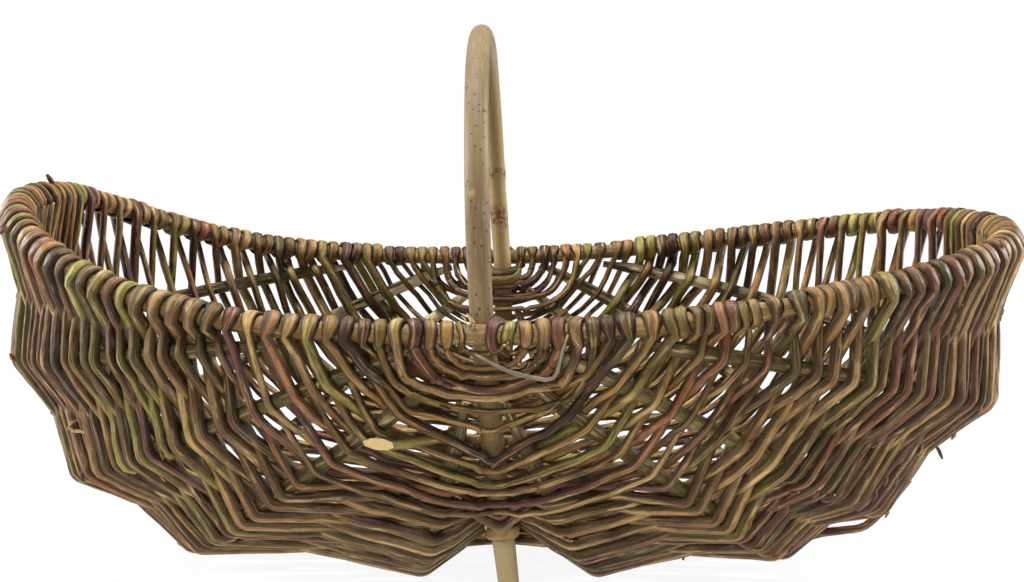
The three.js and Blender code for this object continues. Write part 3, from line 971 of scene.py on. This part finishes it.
def rounded_line(corners, normals, bends):
    """Straight runs between the corners and a short curve at each, with the wall's normal."""
    line = [(corners[0], normals[0], 0.0)]
    last = corners[0]
    for i in range(1, len(corners)):
        final = i == len(corners) - 1
        enter = corners[i]
        if not final:
            way_in = corners[i] - corners[i - 1]
            way_out = corners[i + 1] - corners[i]
            reach = bend_reach(way_in, way_out, bends[i])
            enter = corners[i] - unit(way_in) * reach
            leave = corners[i] + unit(way_out) * reach
        pieces = max(2, round(np.linalg.norm(enter - last) / RUN_STEP))
        for k in range(1, pieces):
            share = k / pieces
            normal = unit(normals[i - 1] * (1 - share) + normals[i] * share)
            line.append((last + (enter - last) * share, normal, math.sin(math.pi * share)))
        if final:
            break
        for share in (0.0, 0.25, 0.5, 0.75, 1.0):
            back = 1 - share
            place = enter * back * back + corners[i] * 2 * back * share + leave * share * share
            line.append((place, normals[i], 0.0))
        last = leave
    line.append((corners[-1], normals[-1], 0.0))
    return line


# %% The line of a row through its crossings
def wall_line(crossings, up_signs, half_width):
    """up_signs gives, for each end that meets the rim, whether the row runs up (1) or down (-1) there."""
    angle = math.radians(-REACH_ANGLE)
    corners = [c.point + c.outward * c.side * c.reach[c.side] for c in crossings]
    for i, up_sign in up_signs.items():
        crossing = crossings[i]
        radial = crossing.outward * crossing.side * math.cos(angle)
        radial = radial + crossing.across * up_sign * math.sin(angle)
        corners[i] = crossing.point + radial * (RIM_RADIUS + half_width)
    normals = [c.outward for c in crossings]
    bends = [c.bend for c in crossings]
    corners = keep_off_the_ribs(corners, normals, bends, crossings)
    return rounded_line(corners, normals, bends)


# %% The stations of a row
BUD_SPACING = 50 * MM
BUD_LENGTH = 4 * MM
GROUND_CLEAR = 0.3 * MM
OVAL = 0.92


def row_stations(line, flip, thick_end, thin_end, slim=0.0):
    """A row with a slight sway, a taper, swollen buds and a slimmer middle, kept above the ground."""
    wave = [chance.uniform(0, 6.3) for _ in range(3)]
    length = sum(np.linalg.norm(b[0] - a[0]) for a, b in zip(line, line[1:]))
    knots = [chance.uniform(0.0, length) for _ in range(int(length / BUD_SPACING))]
    walked = 0.0
    lift = chance.uniform(-0.3, 1.5)
    before = line[0][0]
    span = unit(line[-1][0] - line[0][0])
    found = []
    for place, normal, freedom in line[1:-1]:
        walked += np.linalg.norm(place - before)
        before = place
        sway = math.sin(walked * 95 + wave[0]) + 0.6 * math.sin(walked * 210 + wave[1])
        bulge = math.sin(walked * 120 + wave[2])
        down = np.cross(normal, span)
        moved = place + (down * sway * 1.15 + normal * (bulge * 0.35 + lift)) * MM * freedom
        swell = sum(math.exp(-(((walked - k) / BUD_LENGTH) ** 2)) for k in knots)
        waist = 1 - slim * math.sin(math.pi * walked / length)
        size = (thick_end + (thin_end - thick_end) * walked / length) * (waist + 0.1 * swell)
        moved[2] = max(moved[2], size + GROUND_CLEAR)
        found.append((moved, normal * flip, size, size * OVAL))
    return found


def return_stations(crossings, up_signs, flip, half_width, share, slim=0.0):
    """The second pass of a weaver, from its turn back to the rim, and its tip."""
    line = wall_line(crossings, up_signs, half_width)
    found = row_stations(line[::-1], flip, half_width * share, half_width * (share - 0.1), slim)
    place, normal, freedom = line[0]
    tip = (place, normal * flip, half_width * (share - 0.15), half_width * (share - 0.2))
    return [*found, tip]


# %% A long weaver: two rows joined round the right rim
def weaver_stations(end, row, half_width):
    there = row_crossings(end, row, half_width)
    back = row_crossings(end, row + 1, half_width)
    side = there[0].side
    up_signs = {0: LEFT, -1: RIGHT}
    slim = 0.18 if row < BELLY_ROWS[end] else 0.0
    line = wall_line(there, up_signs, half_width)
    return [
        *rim_wrap(there[0], LEFT, turns[LEFT, end, (row, 0)], False, half_width)[::-1],
        *row_stations(line, side, half_width * 1.05, half_width, slim),
        *rim_wrap(there[-1], RIGHT, turns[RIGHT, end, (row, 0)], True, half_width),
        *return_stations(back, up_signs, -side, half_width, 1.0, slim),
    ]


# %% A short weaver: over the rim, down to a rib, round it and back
def short_stations(side, end, row, half_width):
    there = short_crossings(side, end, (row, 1), half_width)
    back = short_crossings(side, end, (row, 2), half_width)
    flip = there[0].side
    stations = rim_wrap(there[0], -1, turns[side, end, (row, 1)], side == RIGHT, half_width)[::-1]
    stations += row_stations(wall_line(there, {0: -1}, half_width), flip, half_width, half_width * 0.95)
    low, low_back = there[-1], back[-1]
    for turned in (0, 36, 72, 108, 144, 180):
        share = turned / 180
        angle = math.radians(turned)
        radial = low.outward * low.side * math.cos(angle) + low.across * math.sin(angle)
        centre = low.point * (1 - share) + low_back.point * share
        place = centre + radial * (RIB_RADIUS + half_width)
        stations.append((place, radial * flip * low.side, half_width * 1.05, half_width * 0.85))
    return stations + return_stations(back, {0: -1}, -flip, half_width, 0.95)


# %% Lay all weavers
FAMILIES = {"brown": 0.42, "red": 0.31, "green": 0.27}
weave_rods = {(end, family): [] for end in ENDS for family in FAMILIES}
laid = []


def lay(stations, end):
    laid.append(stations)
    family = chance.choices(list(FAMILIES), list(FAMILIES.values()))[0]
    weave_rods[end, family].append(grow_rod(stations, chance.random(), 8, uneven_ring=0.07))


for end in ENDS:
    for row in range(ROWS[end]):
        half_width = chance.uniform(2.0, 3.7) * MM * (0.76 + 0.24 * min(1, row / 18))
        if row % 2 == 0:
            lay(weaver_stations(end, row, half_width), end)
        if packed(row, end):
            for side in SIDES:
                lay(short_stations(side, end, row, half_width), end)
for end, where in ENDS.items():
    for i, family in enumerate(FAMILIES):
        bands = [f"{where}_weave_{n:02d}" for n in range(1 + i, 17, 3)]
        rods = weave_rods[end, family]
        make_piece(f"{where}_weavers_{family}", rods, weaver_bark[family], f"weaver_{family}", *bands)

# %% [markdown]
# ## Rim, ribs and keel
# The rim is one stout rod bent round. The ribs are shaved rods: round with bark outside, flatter inside,
# where bare wood shows near the ears, and thinned to a tongue at both ears. The CAD solids could be shown
# as they are, but they are even all along. These rods are grown on the lines that the weave crosses, so
# the weavers always lie on them, and each has its own taper and a slight unevenness.

# %% Rods along a route
STATION_STEP = 4 * MM


def rod_along(points, radius, outward, taper_ends=0.0, uneven=0.02):
    """Stations along a line of points, with a slight natural unevenness."""
    route = Route(points)
    count = max(8, round(route.length / STATION_STEP))
    stations = []
    phase = chance.uniform(0, 6.3)
    for walked in np.linspace(0, route.length, count + 1):
        place = route.at(walked)
        wave = math.sin(walked * 60 + phase) + math.sin(walked * 23 + 2 * phase)
        size = radius * (1 + uneven * wave)
        if taper_ends:
            nearest = min(walked, route.length - walked)
            size *= 0.55 + 0.45 * ease(nearest / taper_ends)
        stations.append((place, outward(place), size, size))
    return stations


def from_bowl(place):
    """A direction out of the basket's hollow."""
    return unit(place - np.array([place[0] * 0.55, 0, RIM_LOW_HEIGHT * 1.1]))


# %% Rim
IN_BARK = 0.98
right_rim = np.concatenate([rims[RIGHT, BACK].points, rims[RIGHT, FRONT].points[::-1][1:]])
left_rim = np.concatenate([rims[LEFT, FRONT].points[1:], rims[LEFT, BACK].points[::-1][1:]])
rim_points = np.concatenate([right_rim, left_rim])
rim_rod = grow_rod(rod_along(rim_points, RIM_RADIUS * IN_BARK, from_bowl), 0.4, 14)
make_piece("rim", [rim_rod], rim_bark, "rim_bark", "rim_hoop")

# %% Ribs: dark at the left, yellow-green at the right below the upper one
for side, where in SIDES.items():
    for order, rib_name in enumerate(RIB_NAMES):
        halves = []
        for end in ENDS:
            route = ribs[side, order, end]
            tip = max(14 * MM, starts[side, end][order] - 20 * MM)
            halves.append(route.at(np.linspace(tip, route.length, 90)))
        points = np.concatenate([halves[0], halves[1][::-1][1:]])
        stations = rod_along(points, RIB_RADIUS * IN_BARK, from_bowl, 30 * MM, 0.03)
        dark = side == LEFT or rib_name == "upper"
        tone = chance.uniform(0.0, 0.4) if dark else chance.uniform(0.6, 1.0)
        rod = grow_rod(stations, tone, 12, 0.3)
        make_piece(f"{where}_{rib_name}_rib", [rod], rib_bark, "rib_bark", f"rib_{where}_{rib_name}")

# %% Keel
halves = []
for end, line in keels.items():
    walked = line.length
    while legs[end].gap(line.at(walked)) > HANDLE_RADIUS + RIB_RADIUS + CLEARANCE:
        walked -= MM
    halves.append(line.at(np.linspace(walked, line.length, 60)))
keel_points = np.concatenate([halves[0], halves[1][::-1][1:]])
keel_rod = grow_rod(rod_along(keel_points, RIB_RADIUS * IN_BARK, from_bowl, 25 * MM, 0.03), 0.6, 12, 0.3)
make_piece("keel", [keel_rod], rib_bark, "rib_bark", "keel_rib")

# %% [markdown]
# ## The handle
# One thick rod makes the arch, both legs and both feet. A rod that stops at the ground would end square to
# its own slant, so this one is grown past the ground and sawn off level, as a maker does it, and the feet
# get flat pale ends. Buds and side twigs were cut away on the real rod and left low knots.

# %% Handle rod
HANDLE_BOW = 7 * MM
BACK_LEG = 100 * MM


def arch_points():
    rise = HANDLE_TOP - HANDLE_RADIUS - RIM_LOW_HEIGHT
    points = []
    for share in np.linspace(0, 1, 120):
        turn = share * math.pi
        y = -HANDLE_Y * math.copysign(abs(math.cos(turn)) ** HANDLE_POWER, math.cos(turn))
        x = EAR_X[FRONT] + (EAR_X[BACK] - EAR_X[FRONT]) * share
        x -= HANDLE_BOW * math.sqrt(abs(math.sin(turn)))
        points.append((x, y, RIM_LOW_HEIGHT + rise * abs(math.sin(turn)) ** HANDLE_POWER))
    return np.array(points)


def swollen(place):
    """How much thicker the rod is at a place: the knots on the back leg swell it."""
    if place[1] < BACK_LEG:
        return 1.0
    away = [(place[2] - knot["height"] * MM) / (knot["reach"] * MM) for knot in KNOTS]
    return 1 + sum(knot["swell"] * math.exp(-(a**2)) for knot, a in zip(KNOTS, away))


handle_points = np.concatenate([legs[FRONT].points[::-1][:-1], arch_points(), legs[BACK].points[1:]])
stations = rod_along(handle_points, HANDLE_RADIUS, lambda place: np.array([1.0, 0, 0]), 0, 0.015)
stations = [(place, way, w * swollen(place), d * swollen(place)) for place, way, w, d in stations]
handle = grow_rod(stations, 0.5, 24)
saw(handle, (0, 0, 0), (0, 0, 1))
make_piece("handle", [handle], handle_bark, "handle_bark", "handle_hoop")

# %% [markdown]
# ## Ties at the ears and feet
# At the front ear a flat withy comes from behind the handle and hooks over the rim. At the back one it
# lies across the leg and winds up round the rim. At each foot a flat band goes once round the leg. A
# torus would be quicker, but it closes on itself. A withy is a rod that was soaked until it bends, and
# it has two ends, so each tie is a flattened rod on a smooth line through a few points.

# %% A flat tie on a smooth line through a few points
def through(points, steps=10):
    """A Catmull-Rom line through the given points."""
    points = [np.array(p, dtype=float) for p in points]
    padded = [2 * points[0] - points[1], *points, 2 * points[-1] - points[-2]]
    line = []
    for a, b, c, d in zip(padded, padded[1:], padded[2:], padded[3:]):
        for share in np.arange(0, 1, 1 / steps):
            bent = (2 * a - 5 * b + 4 * c - d) * share**2 + (3 * b - a - 3 * c + d) * share**3
            line.append(0.5 * (2 * b + (c - a) * share + bent))
    line.append(points[-1])
    return np.array(line)


def make_tie(place, stations, wide, deep, tone, bark, slot):
    """Flattens a rod to the withy that stands for a tie."""
    flat = [(centre, way, w * wide, d * deep) for centre, way, w, d in stations]
    tie = grow_rod(flat, tone, 12, uneven_ring=0.05)
    make_piece(f"{place}_withy", [tie], bark, slot, f"{place}_tie")


# %% Ear ties
HOOK = [(205, 14), (160, 13), (120, 10), (85, 6.8), (45, 4.8), (0, 4.3), (-45, 5), (-85, 7.5)]
HOOK_END = [(11, -188, 160.5), (15, -186, 157)]
CROSSED = [(-13, 183, 158), (-11.5, 175, 156), (-5, 171.2, 155), (2, 171, 155.2), (9, 173, 156.5)]
CROSSED += [(12.5, 180, 160), (12.5, 190, 163), (11, 197.5, 167.5), (7, 199.8, 174), (3, 195.5, 178.6)]
CROSSED += [(-1, 188, 178.6), (-3, 183, 175.5)]


def beside_ear(end, places):
    """Points from millimetres, with x counted from the ear."""
    return [(EAR_X[end] + x * MM, y * MM, z * MM) for x, y, z in places]


def hooked_withy():
    """From behind the handle over the rim, down its front and back under it."""
    points = []
    reach = RIM_RADIUS + 1.9 * MM
    for angle, beside in HOOK:
        turned = math.radians(angle)
        out = RIM_HALF_WIDTH + reach * math.cos(turned)
        height = RIM_LOW_HEIGHT + reach * math.sin(turned)
        points.append((EAR_X[FRONT] + beside * MM, -out, height))
    return points + beside_ear(FRONT, HOOK_END)


for end, where in ENDS.items():
    points = hooked_withy() if end == FRONT else beside_ear(BACK, CROSSED)
    hub = np.array([EAR_X[end], end * RIM_HALF_WIDTH, RIM_LOW_HEIGHT - (0 if end == FRONT else 5 * MM)])
    stations = rod_along(through(points), 2.9 * MM, lambda place: unit(place - hub), 6 * MM, 0.04)
    bark = weaver_bark["red"] if end == FRONT else rim_bark
    make_tie(f"{where}_ear", stations, 1.3, 0.62, 0.3, bark, "weaver_red")

# %% Foot ties
FOOT_TIE_HEIGHT = 44 * MM
LEVEL = np.array([1, 1, 0])
for end, where in ENDS.items():
    heights = legs[end].points[:, 2]
    on_leg = legs[end].points[int(np.argmin(np.abs(heights - FOOT_TIE_HEIGHT)))]
    points = []
    for turn in np.linspace(-2.2, 2 * math.pi - 1.6, 60):
        snug = 1 + 0.12 * abs(turn) / math.pi
        sideways = 8.0 * MM * math.sin(turn) * snug
        out = 8.9 * MM * math.cos(turn) * snug
        points.append(on_leg + np.array([sideways, end * out, 0.5 * MM * turn]))
    stations = rod_along(points, 2.6 * MM, lambda place: unit((place - on_leg) * LEVEL), 5 * MM, 0.04)
    make_tie(f"{where}_foot", stations, 1.45, 0.55, 0.7, rim_bark, "rim_bark")

# %% [markdown]
# ## Loose ends
# A hand-made basket has butts, tips, buds and side shoots that nobody trimmed. Each one here lies against
# the rods that carry it. A bud sits on a weaver and points along it. The butt of one weaver was cut at a
# slant with a knife, so its rod is cut with a slanted plane and the cut face gets the pale wood.

# %% Shoots
def loose_rod(places, radius, tone, sides=8, taper=0.0):
    """A thin rod through points in millimetres."""
    points = through([[c * MM for c in place] for place in places])
    return grow_rod(rod_along(points, radius * MM, from_bowl, taper * MM, 0.05), tone, sides)


HANGING = [(176, -49, 19), (190, -50, 24), (205, -50, 26), (217, -50, 28)]
HANGING += [(226, -51, 36), (234, -52, 46), (243, -55, 60)]
shoots = [
    loose_rod(HANGING, 2.7, 0.1),
    loose_rod([(109, -40, 11), (108, -40, 8), (106.5, -41, 4)], 1.3, 0.2, 6, 4),
    loose_rod([(298, -37, 158), (300.5, -38, 160), (302.5, -38, 163)], 1.9, 0.0, 6, 3),
    loose_rod([(257, -60, 83), (259.5, -61, 79), (261.5, -62, 74)], 1.3, 0.1, 6, 4),
    loose_rod([(-299, 26, 234), (-301, 24, 239), (-303, 22, 243)], 1.7, 0.1, 6, 4),
]
make_piece("shoots", shoots, weaver_bark["red"], "weaver_red")

# %% Buds
LOWEST_BUD = 8 * MM
buds = []
for stations in laid * 2:
    i = chance.randrange(len(stations) // 6, 5 * len(stations) // 6)
    centre, way, width, depth = stations[i]
    along = unit(stations[i + 1][0] - centre)
    out = from_bowl(centre)
    foot = centre + out * depth * 0.7
    tip = centre + out * (depth + 1.5 * MM) + along * 6 * MM
    middle = (foot + tip) / 2 + out * 0.5 * MM
    if tip[2] > LOWEST_BUD:
        radius = chance.uniform(0.9, 1.4)
        buds.append(loose_rod([foot / MM, middle / MM, tip / MM], radius, chance.random(), 6, 4))
make_piece("buds", buds, weaver_bark["red"], "weaver_red")

# %% Ends of bark, a grey strand and splinters
CURL = [(-246, -112, 112), (-254, -116, 107), (-252, -118, 104), (-245, -120, 104), (-236, -124, 101)]
bark_ends = [
    loose_rod(CURL, 1.2, 0.95, 6, 6),
    loose_rod([(92, -151, 75), (99, -155, 74), (106, -158.5, 72)], 2.6, 0.5),
]
make_piece("bark_ends", bark_ends, weaver_bark["brown"], "weaver_brown")
STRAND = [(-20, -201, 162), (-2, -202.5, 153.5), (14, -202.5, 149.5), (19, -202, 149.2)]
STRAND += [(22.3, -201.5, 152.5), (23.8, -201.2, 158), (25.4, -201.2, 164.5), (28, -201, 172)]
grey_bark = willow_bark("grey_bark", [(0.0, "#6f6755"), (1.0, "#8d8570")], ["#5c5346", "#7a705c"], 0.35)
make_piece("grey_strand", [loose_rod(STRAND, 1.1, 0.7, 8, 8)], grey_bark, "weaver_brown")
splinters = [
    loose_rod([(-22, -193.5, 176.5), (-22.5, -195.5, 179.5), (-24, -196, 182.5)], 0.6, 0.5, 6, 3),
    loose_rod([(-24.5, -193, 177), (-25.2, -194, 179.5), (-27, -194.5, 181)], 0.5, 0.8, 6, 3),
    loose_rod([(-20, -194.5, 176.5), (-20.5, -197, 178.5), (-21.5, -198.5, 180.5)], 0.5, 0.2, 6, 3),
    loose_rod([(-103, -190, 143.6), (-103, -193.5, 144.4)], 2.4, 0.6, 8, 2),
]
make_piece("splinters", splinters, cut_end, "rim_bark")

# %% The slanted butt
BUTT = [(-84, -195, 113.2), (-70, -195, 113.6), (-56, -193, 114), (-40, -185, 115), (-27, -175, 115.5)]
butt = loose_rod(BUTT, 3.1, 0.9)
saw(butt, [c * MM for c in BUTT[1]], unit(np.array([0.33, 0.94, 0.1])))
make_piece("slanted_butt", [butt], weaver_bark["green"], "weaver_green")

# %% [markdown]
# ## Floor, light and background
# The basket stands on a white light table: light comes up from below, from above and from both sides, and
# little from the front, so every rod has pale edges and a darker middle. A plain white world would be
# simpler, but it lights the front as much as the sides, and then the rods look flat. For the camera the
# floor is white. A small part of it stays a diffuse surface there, so that the shadow shows.

# %% Floor
visual_low, visual_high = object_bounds()
bm = bmesh.new()
bmesh.ops.create_grid(bm, x_segments=1, y_segments=1, size=6.0)
bmesh.ops.translate(bm, vec=(0, 0, min(visual_low.z, 0.0) - 0.0002), verts=bm.verts[:])
floor_mesh = bpy.data.meshes.new("floor")
bm.to_mesh(floor_mesh)
bm.free()
floor = bpy.data.objects.new("floor", floor_mesh)
bpy.context.collection.objects.link(floor)

# %% White for the camera, a light table for everything else
WHITE = (1, 1, 1, 1)


def seen_or_not(tree, unseen, seen):
    """One shader for rays from the camera or through glass, another for the light that bounces."""
    path = node(tree, "ShaderNodeLightPath").outputs
    share = calc(tree, "MAXIMUM", path["Is Camera Ray"], path["Is Transmission Ray"])
    return node(tree, "ShaderNodeMixShader", {0: share, 1: unseen, 2: seen}).outputs[0]


material = bpy.data.materials.new("table_white")
material.use_nodes = True
tree = material.node_tree
tree.nodes.clear()
from_middle = node(tree, "ShaderNodeTexCoord").outputs["Object"]
glow_share = spread(tree, measure(tree, "LENGTH", from_middle), 0.4, 1.0, 0.88, 1.0)
table = node(tree, "ShaderNodeBsdfDiffuse", {"Color": (0.8, 0.8, 0.8, 1)}).outputs[0]
glow = node(tree, "ShaderNodeEmission", {"Color": WHITE, "Strength": 1.03}).outputs[0]
seen = node(tree, "ShaderNodeMixShader", {0: glow_share, 1: table, 2: glow}).outputs[0]
dim_table = node(tree, "ShaderNodeBsdfDiffuse", {"Color": (0.35, 0.35, 0.35, 1)}).outputs[0]
strength = spread(tree, axis(tree, from_middle, 1), -0.5, -0.15, 0.1, 0.9)
lift = node(tree, "ShaderNodeEmission", {"Color": WHITE, "Strength": strength}).outputs[0]
light_table = node(tree, "ShaderNodeAddShader", {0: dim_table, 1: lift}).outputs[0]
node(tree, "ShaderNodeOutputMaterial", {"Surface": seen_or_not(tree, light_table, seen)})
floor_mesh.materials.append(material)


# %% Lamps and world
def soft_lamp(name, place, size, watts):
    lamp = bpy.data.objects.new(name, bpy.data.lights.new(name, "AREA"))
    lamp.data.shape = "DISK"
    lamp.data.size = size
    lamp.data.energy = watts
    lamp.location = place
    aim(lamp, (0, 0, 0.12))
    bpy.context.collection.objects.link(lamp)


soft_lamp("overhead", (-0.2, 0.0, 1.9), 0.8, 66)
soft_lamp("left", (-1.7, 0.5, 0.7), 0.8, 41)
soft_lamp("right", (1.7, 0.5, 0.7), 0.8, 50)
soft_lamp("front", (-0.4, -1.9, 0.3), 0.6, 18)

world = bpy.data.worlds.new("studio")
bpy.context.scene.world = world
world.use_nodes = True
tree = world.node_tree
tree.nodes.clear()
soft = node(tree, "ShaderNodeBackground", {"Color": WHITE, "Strength": 0.06}).outputs[0]
white = node(tree, "ShaderNodeBackground", {"Color": WHITE, "Strength": 1.0}).outputs[0]
node(tree, "ShaderNodeOutputWorld", {"Surface": seen_or_not(tree, soft, white)})
bpy.context.scene.view_settings.view_transform = "Standard"
print("lamps:", len(bpy.data.lights))

# %% Sizes
print("visual box in mm:", [round(v * 1000) for v in visual_high - visual_low])
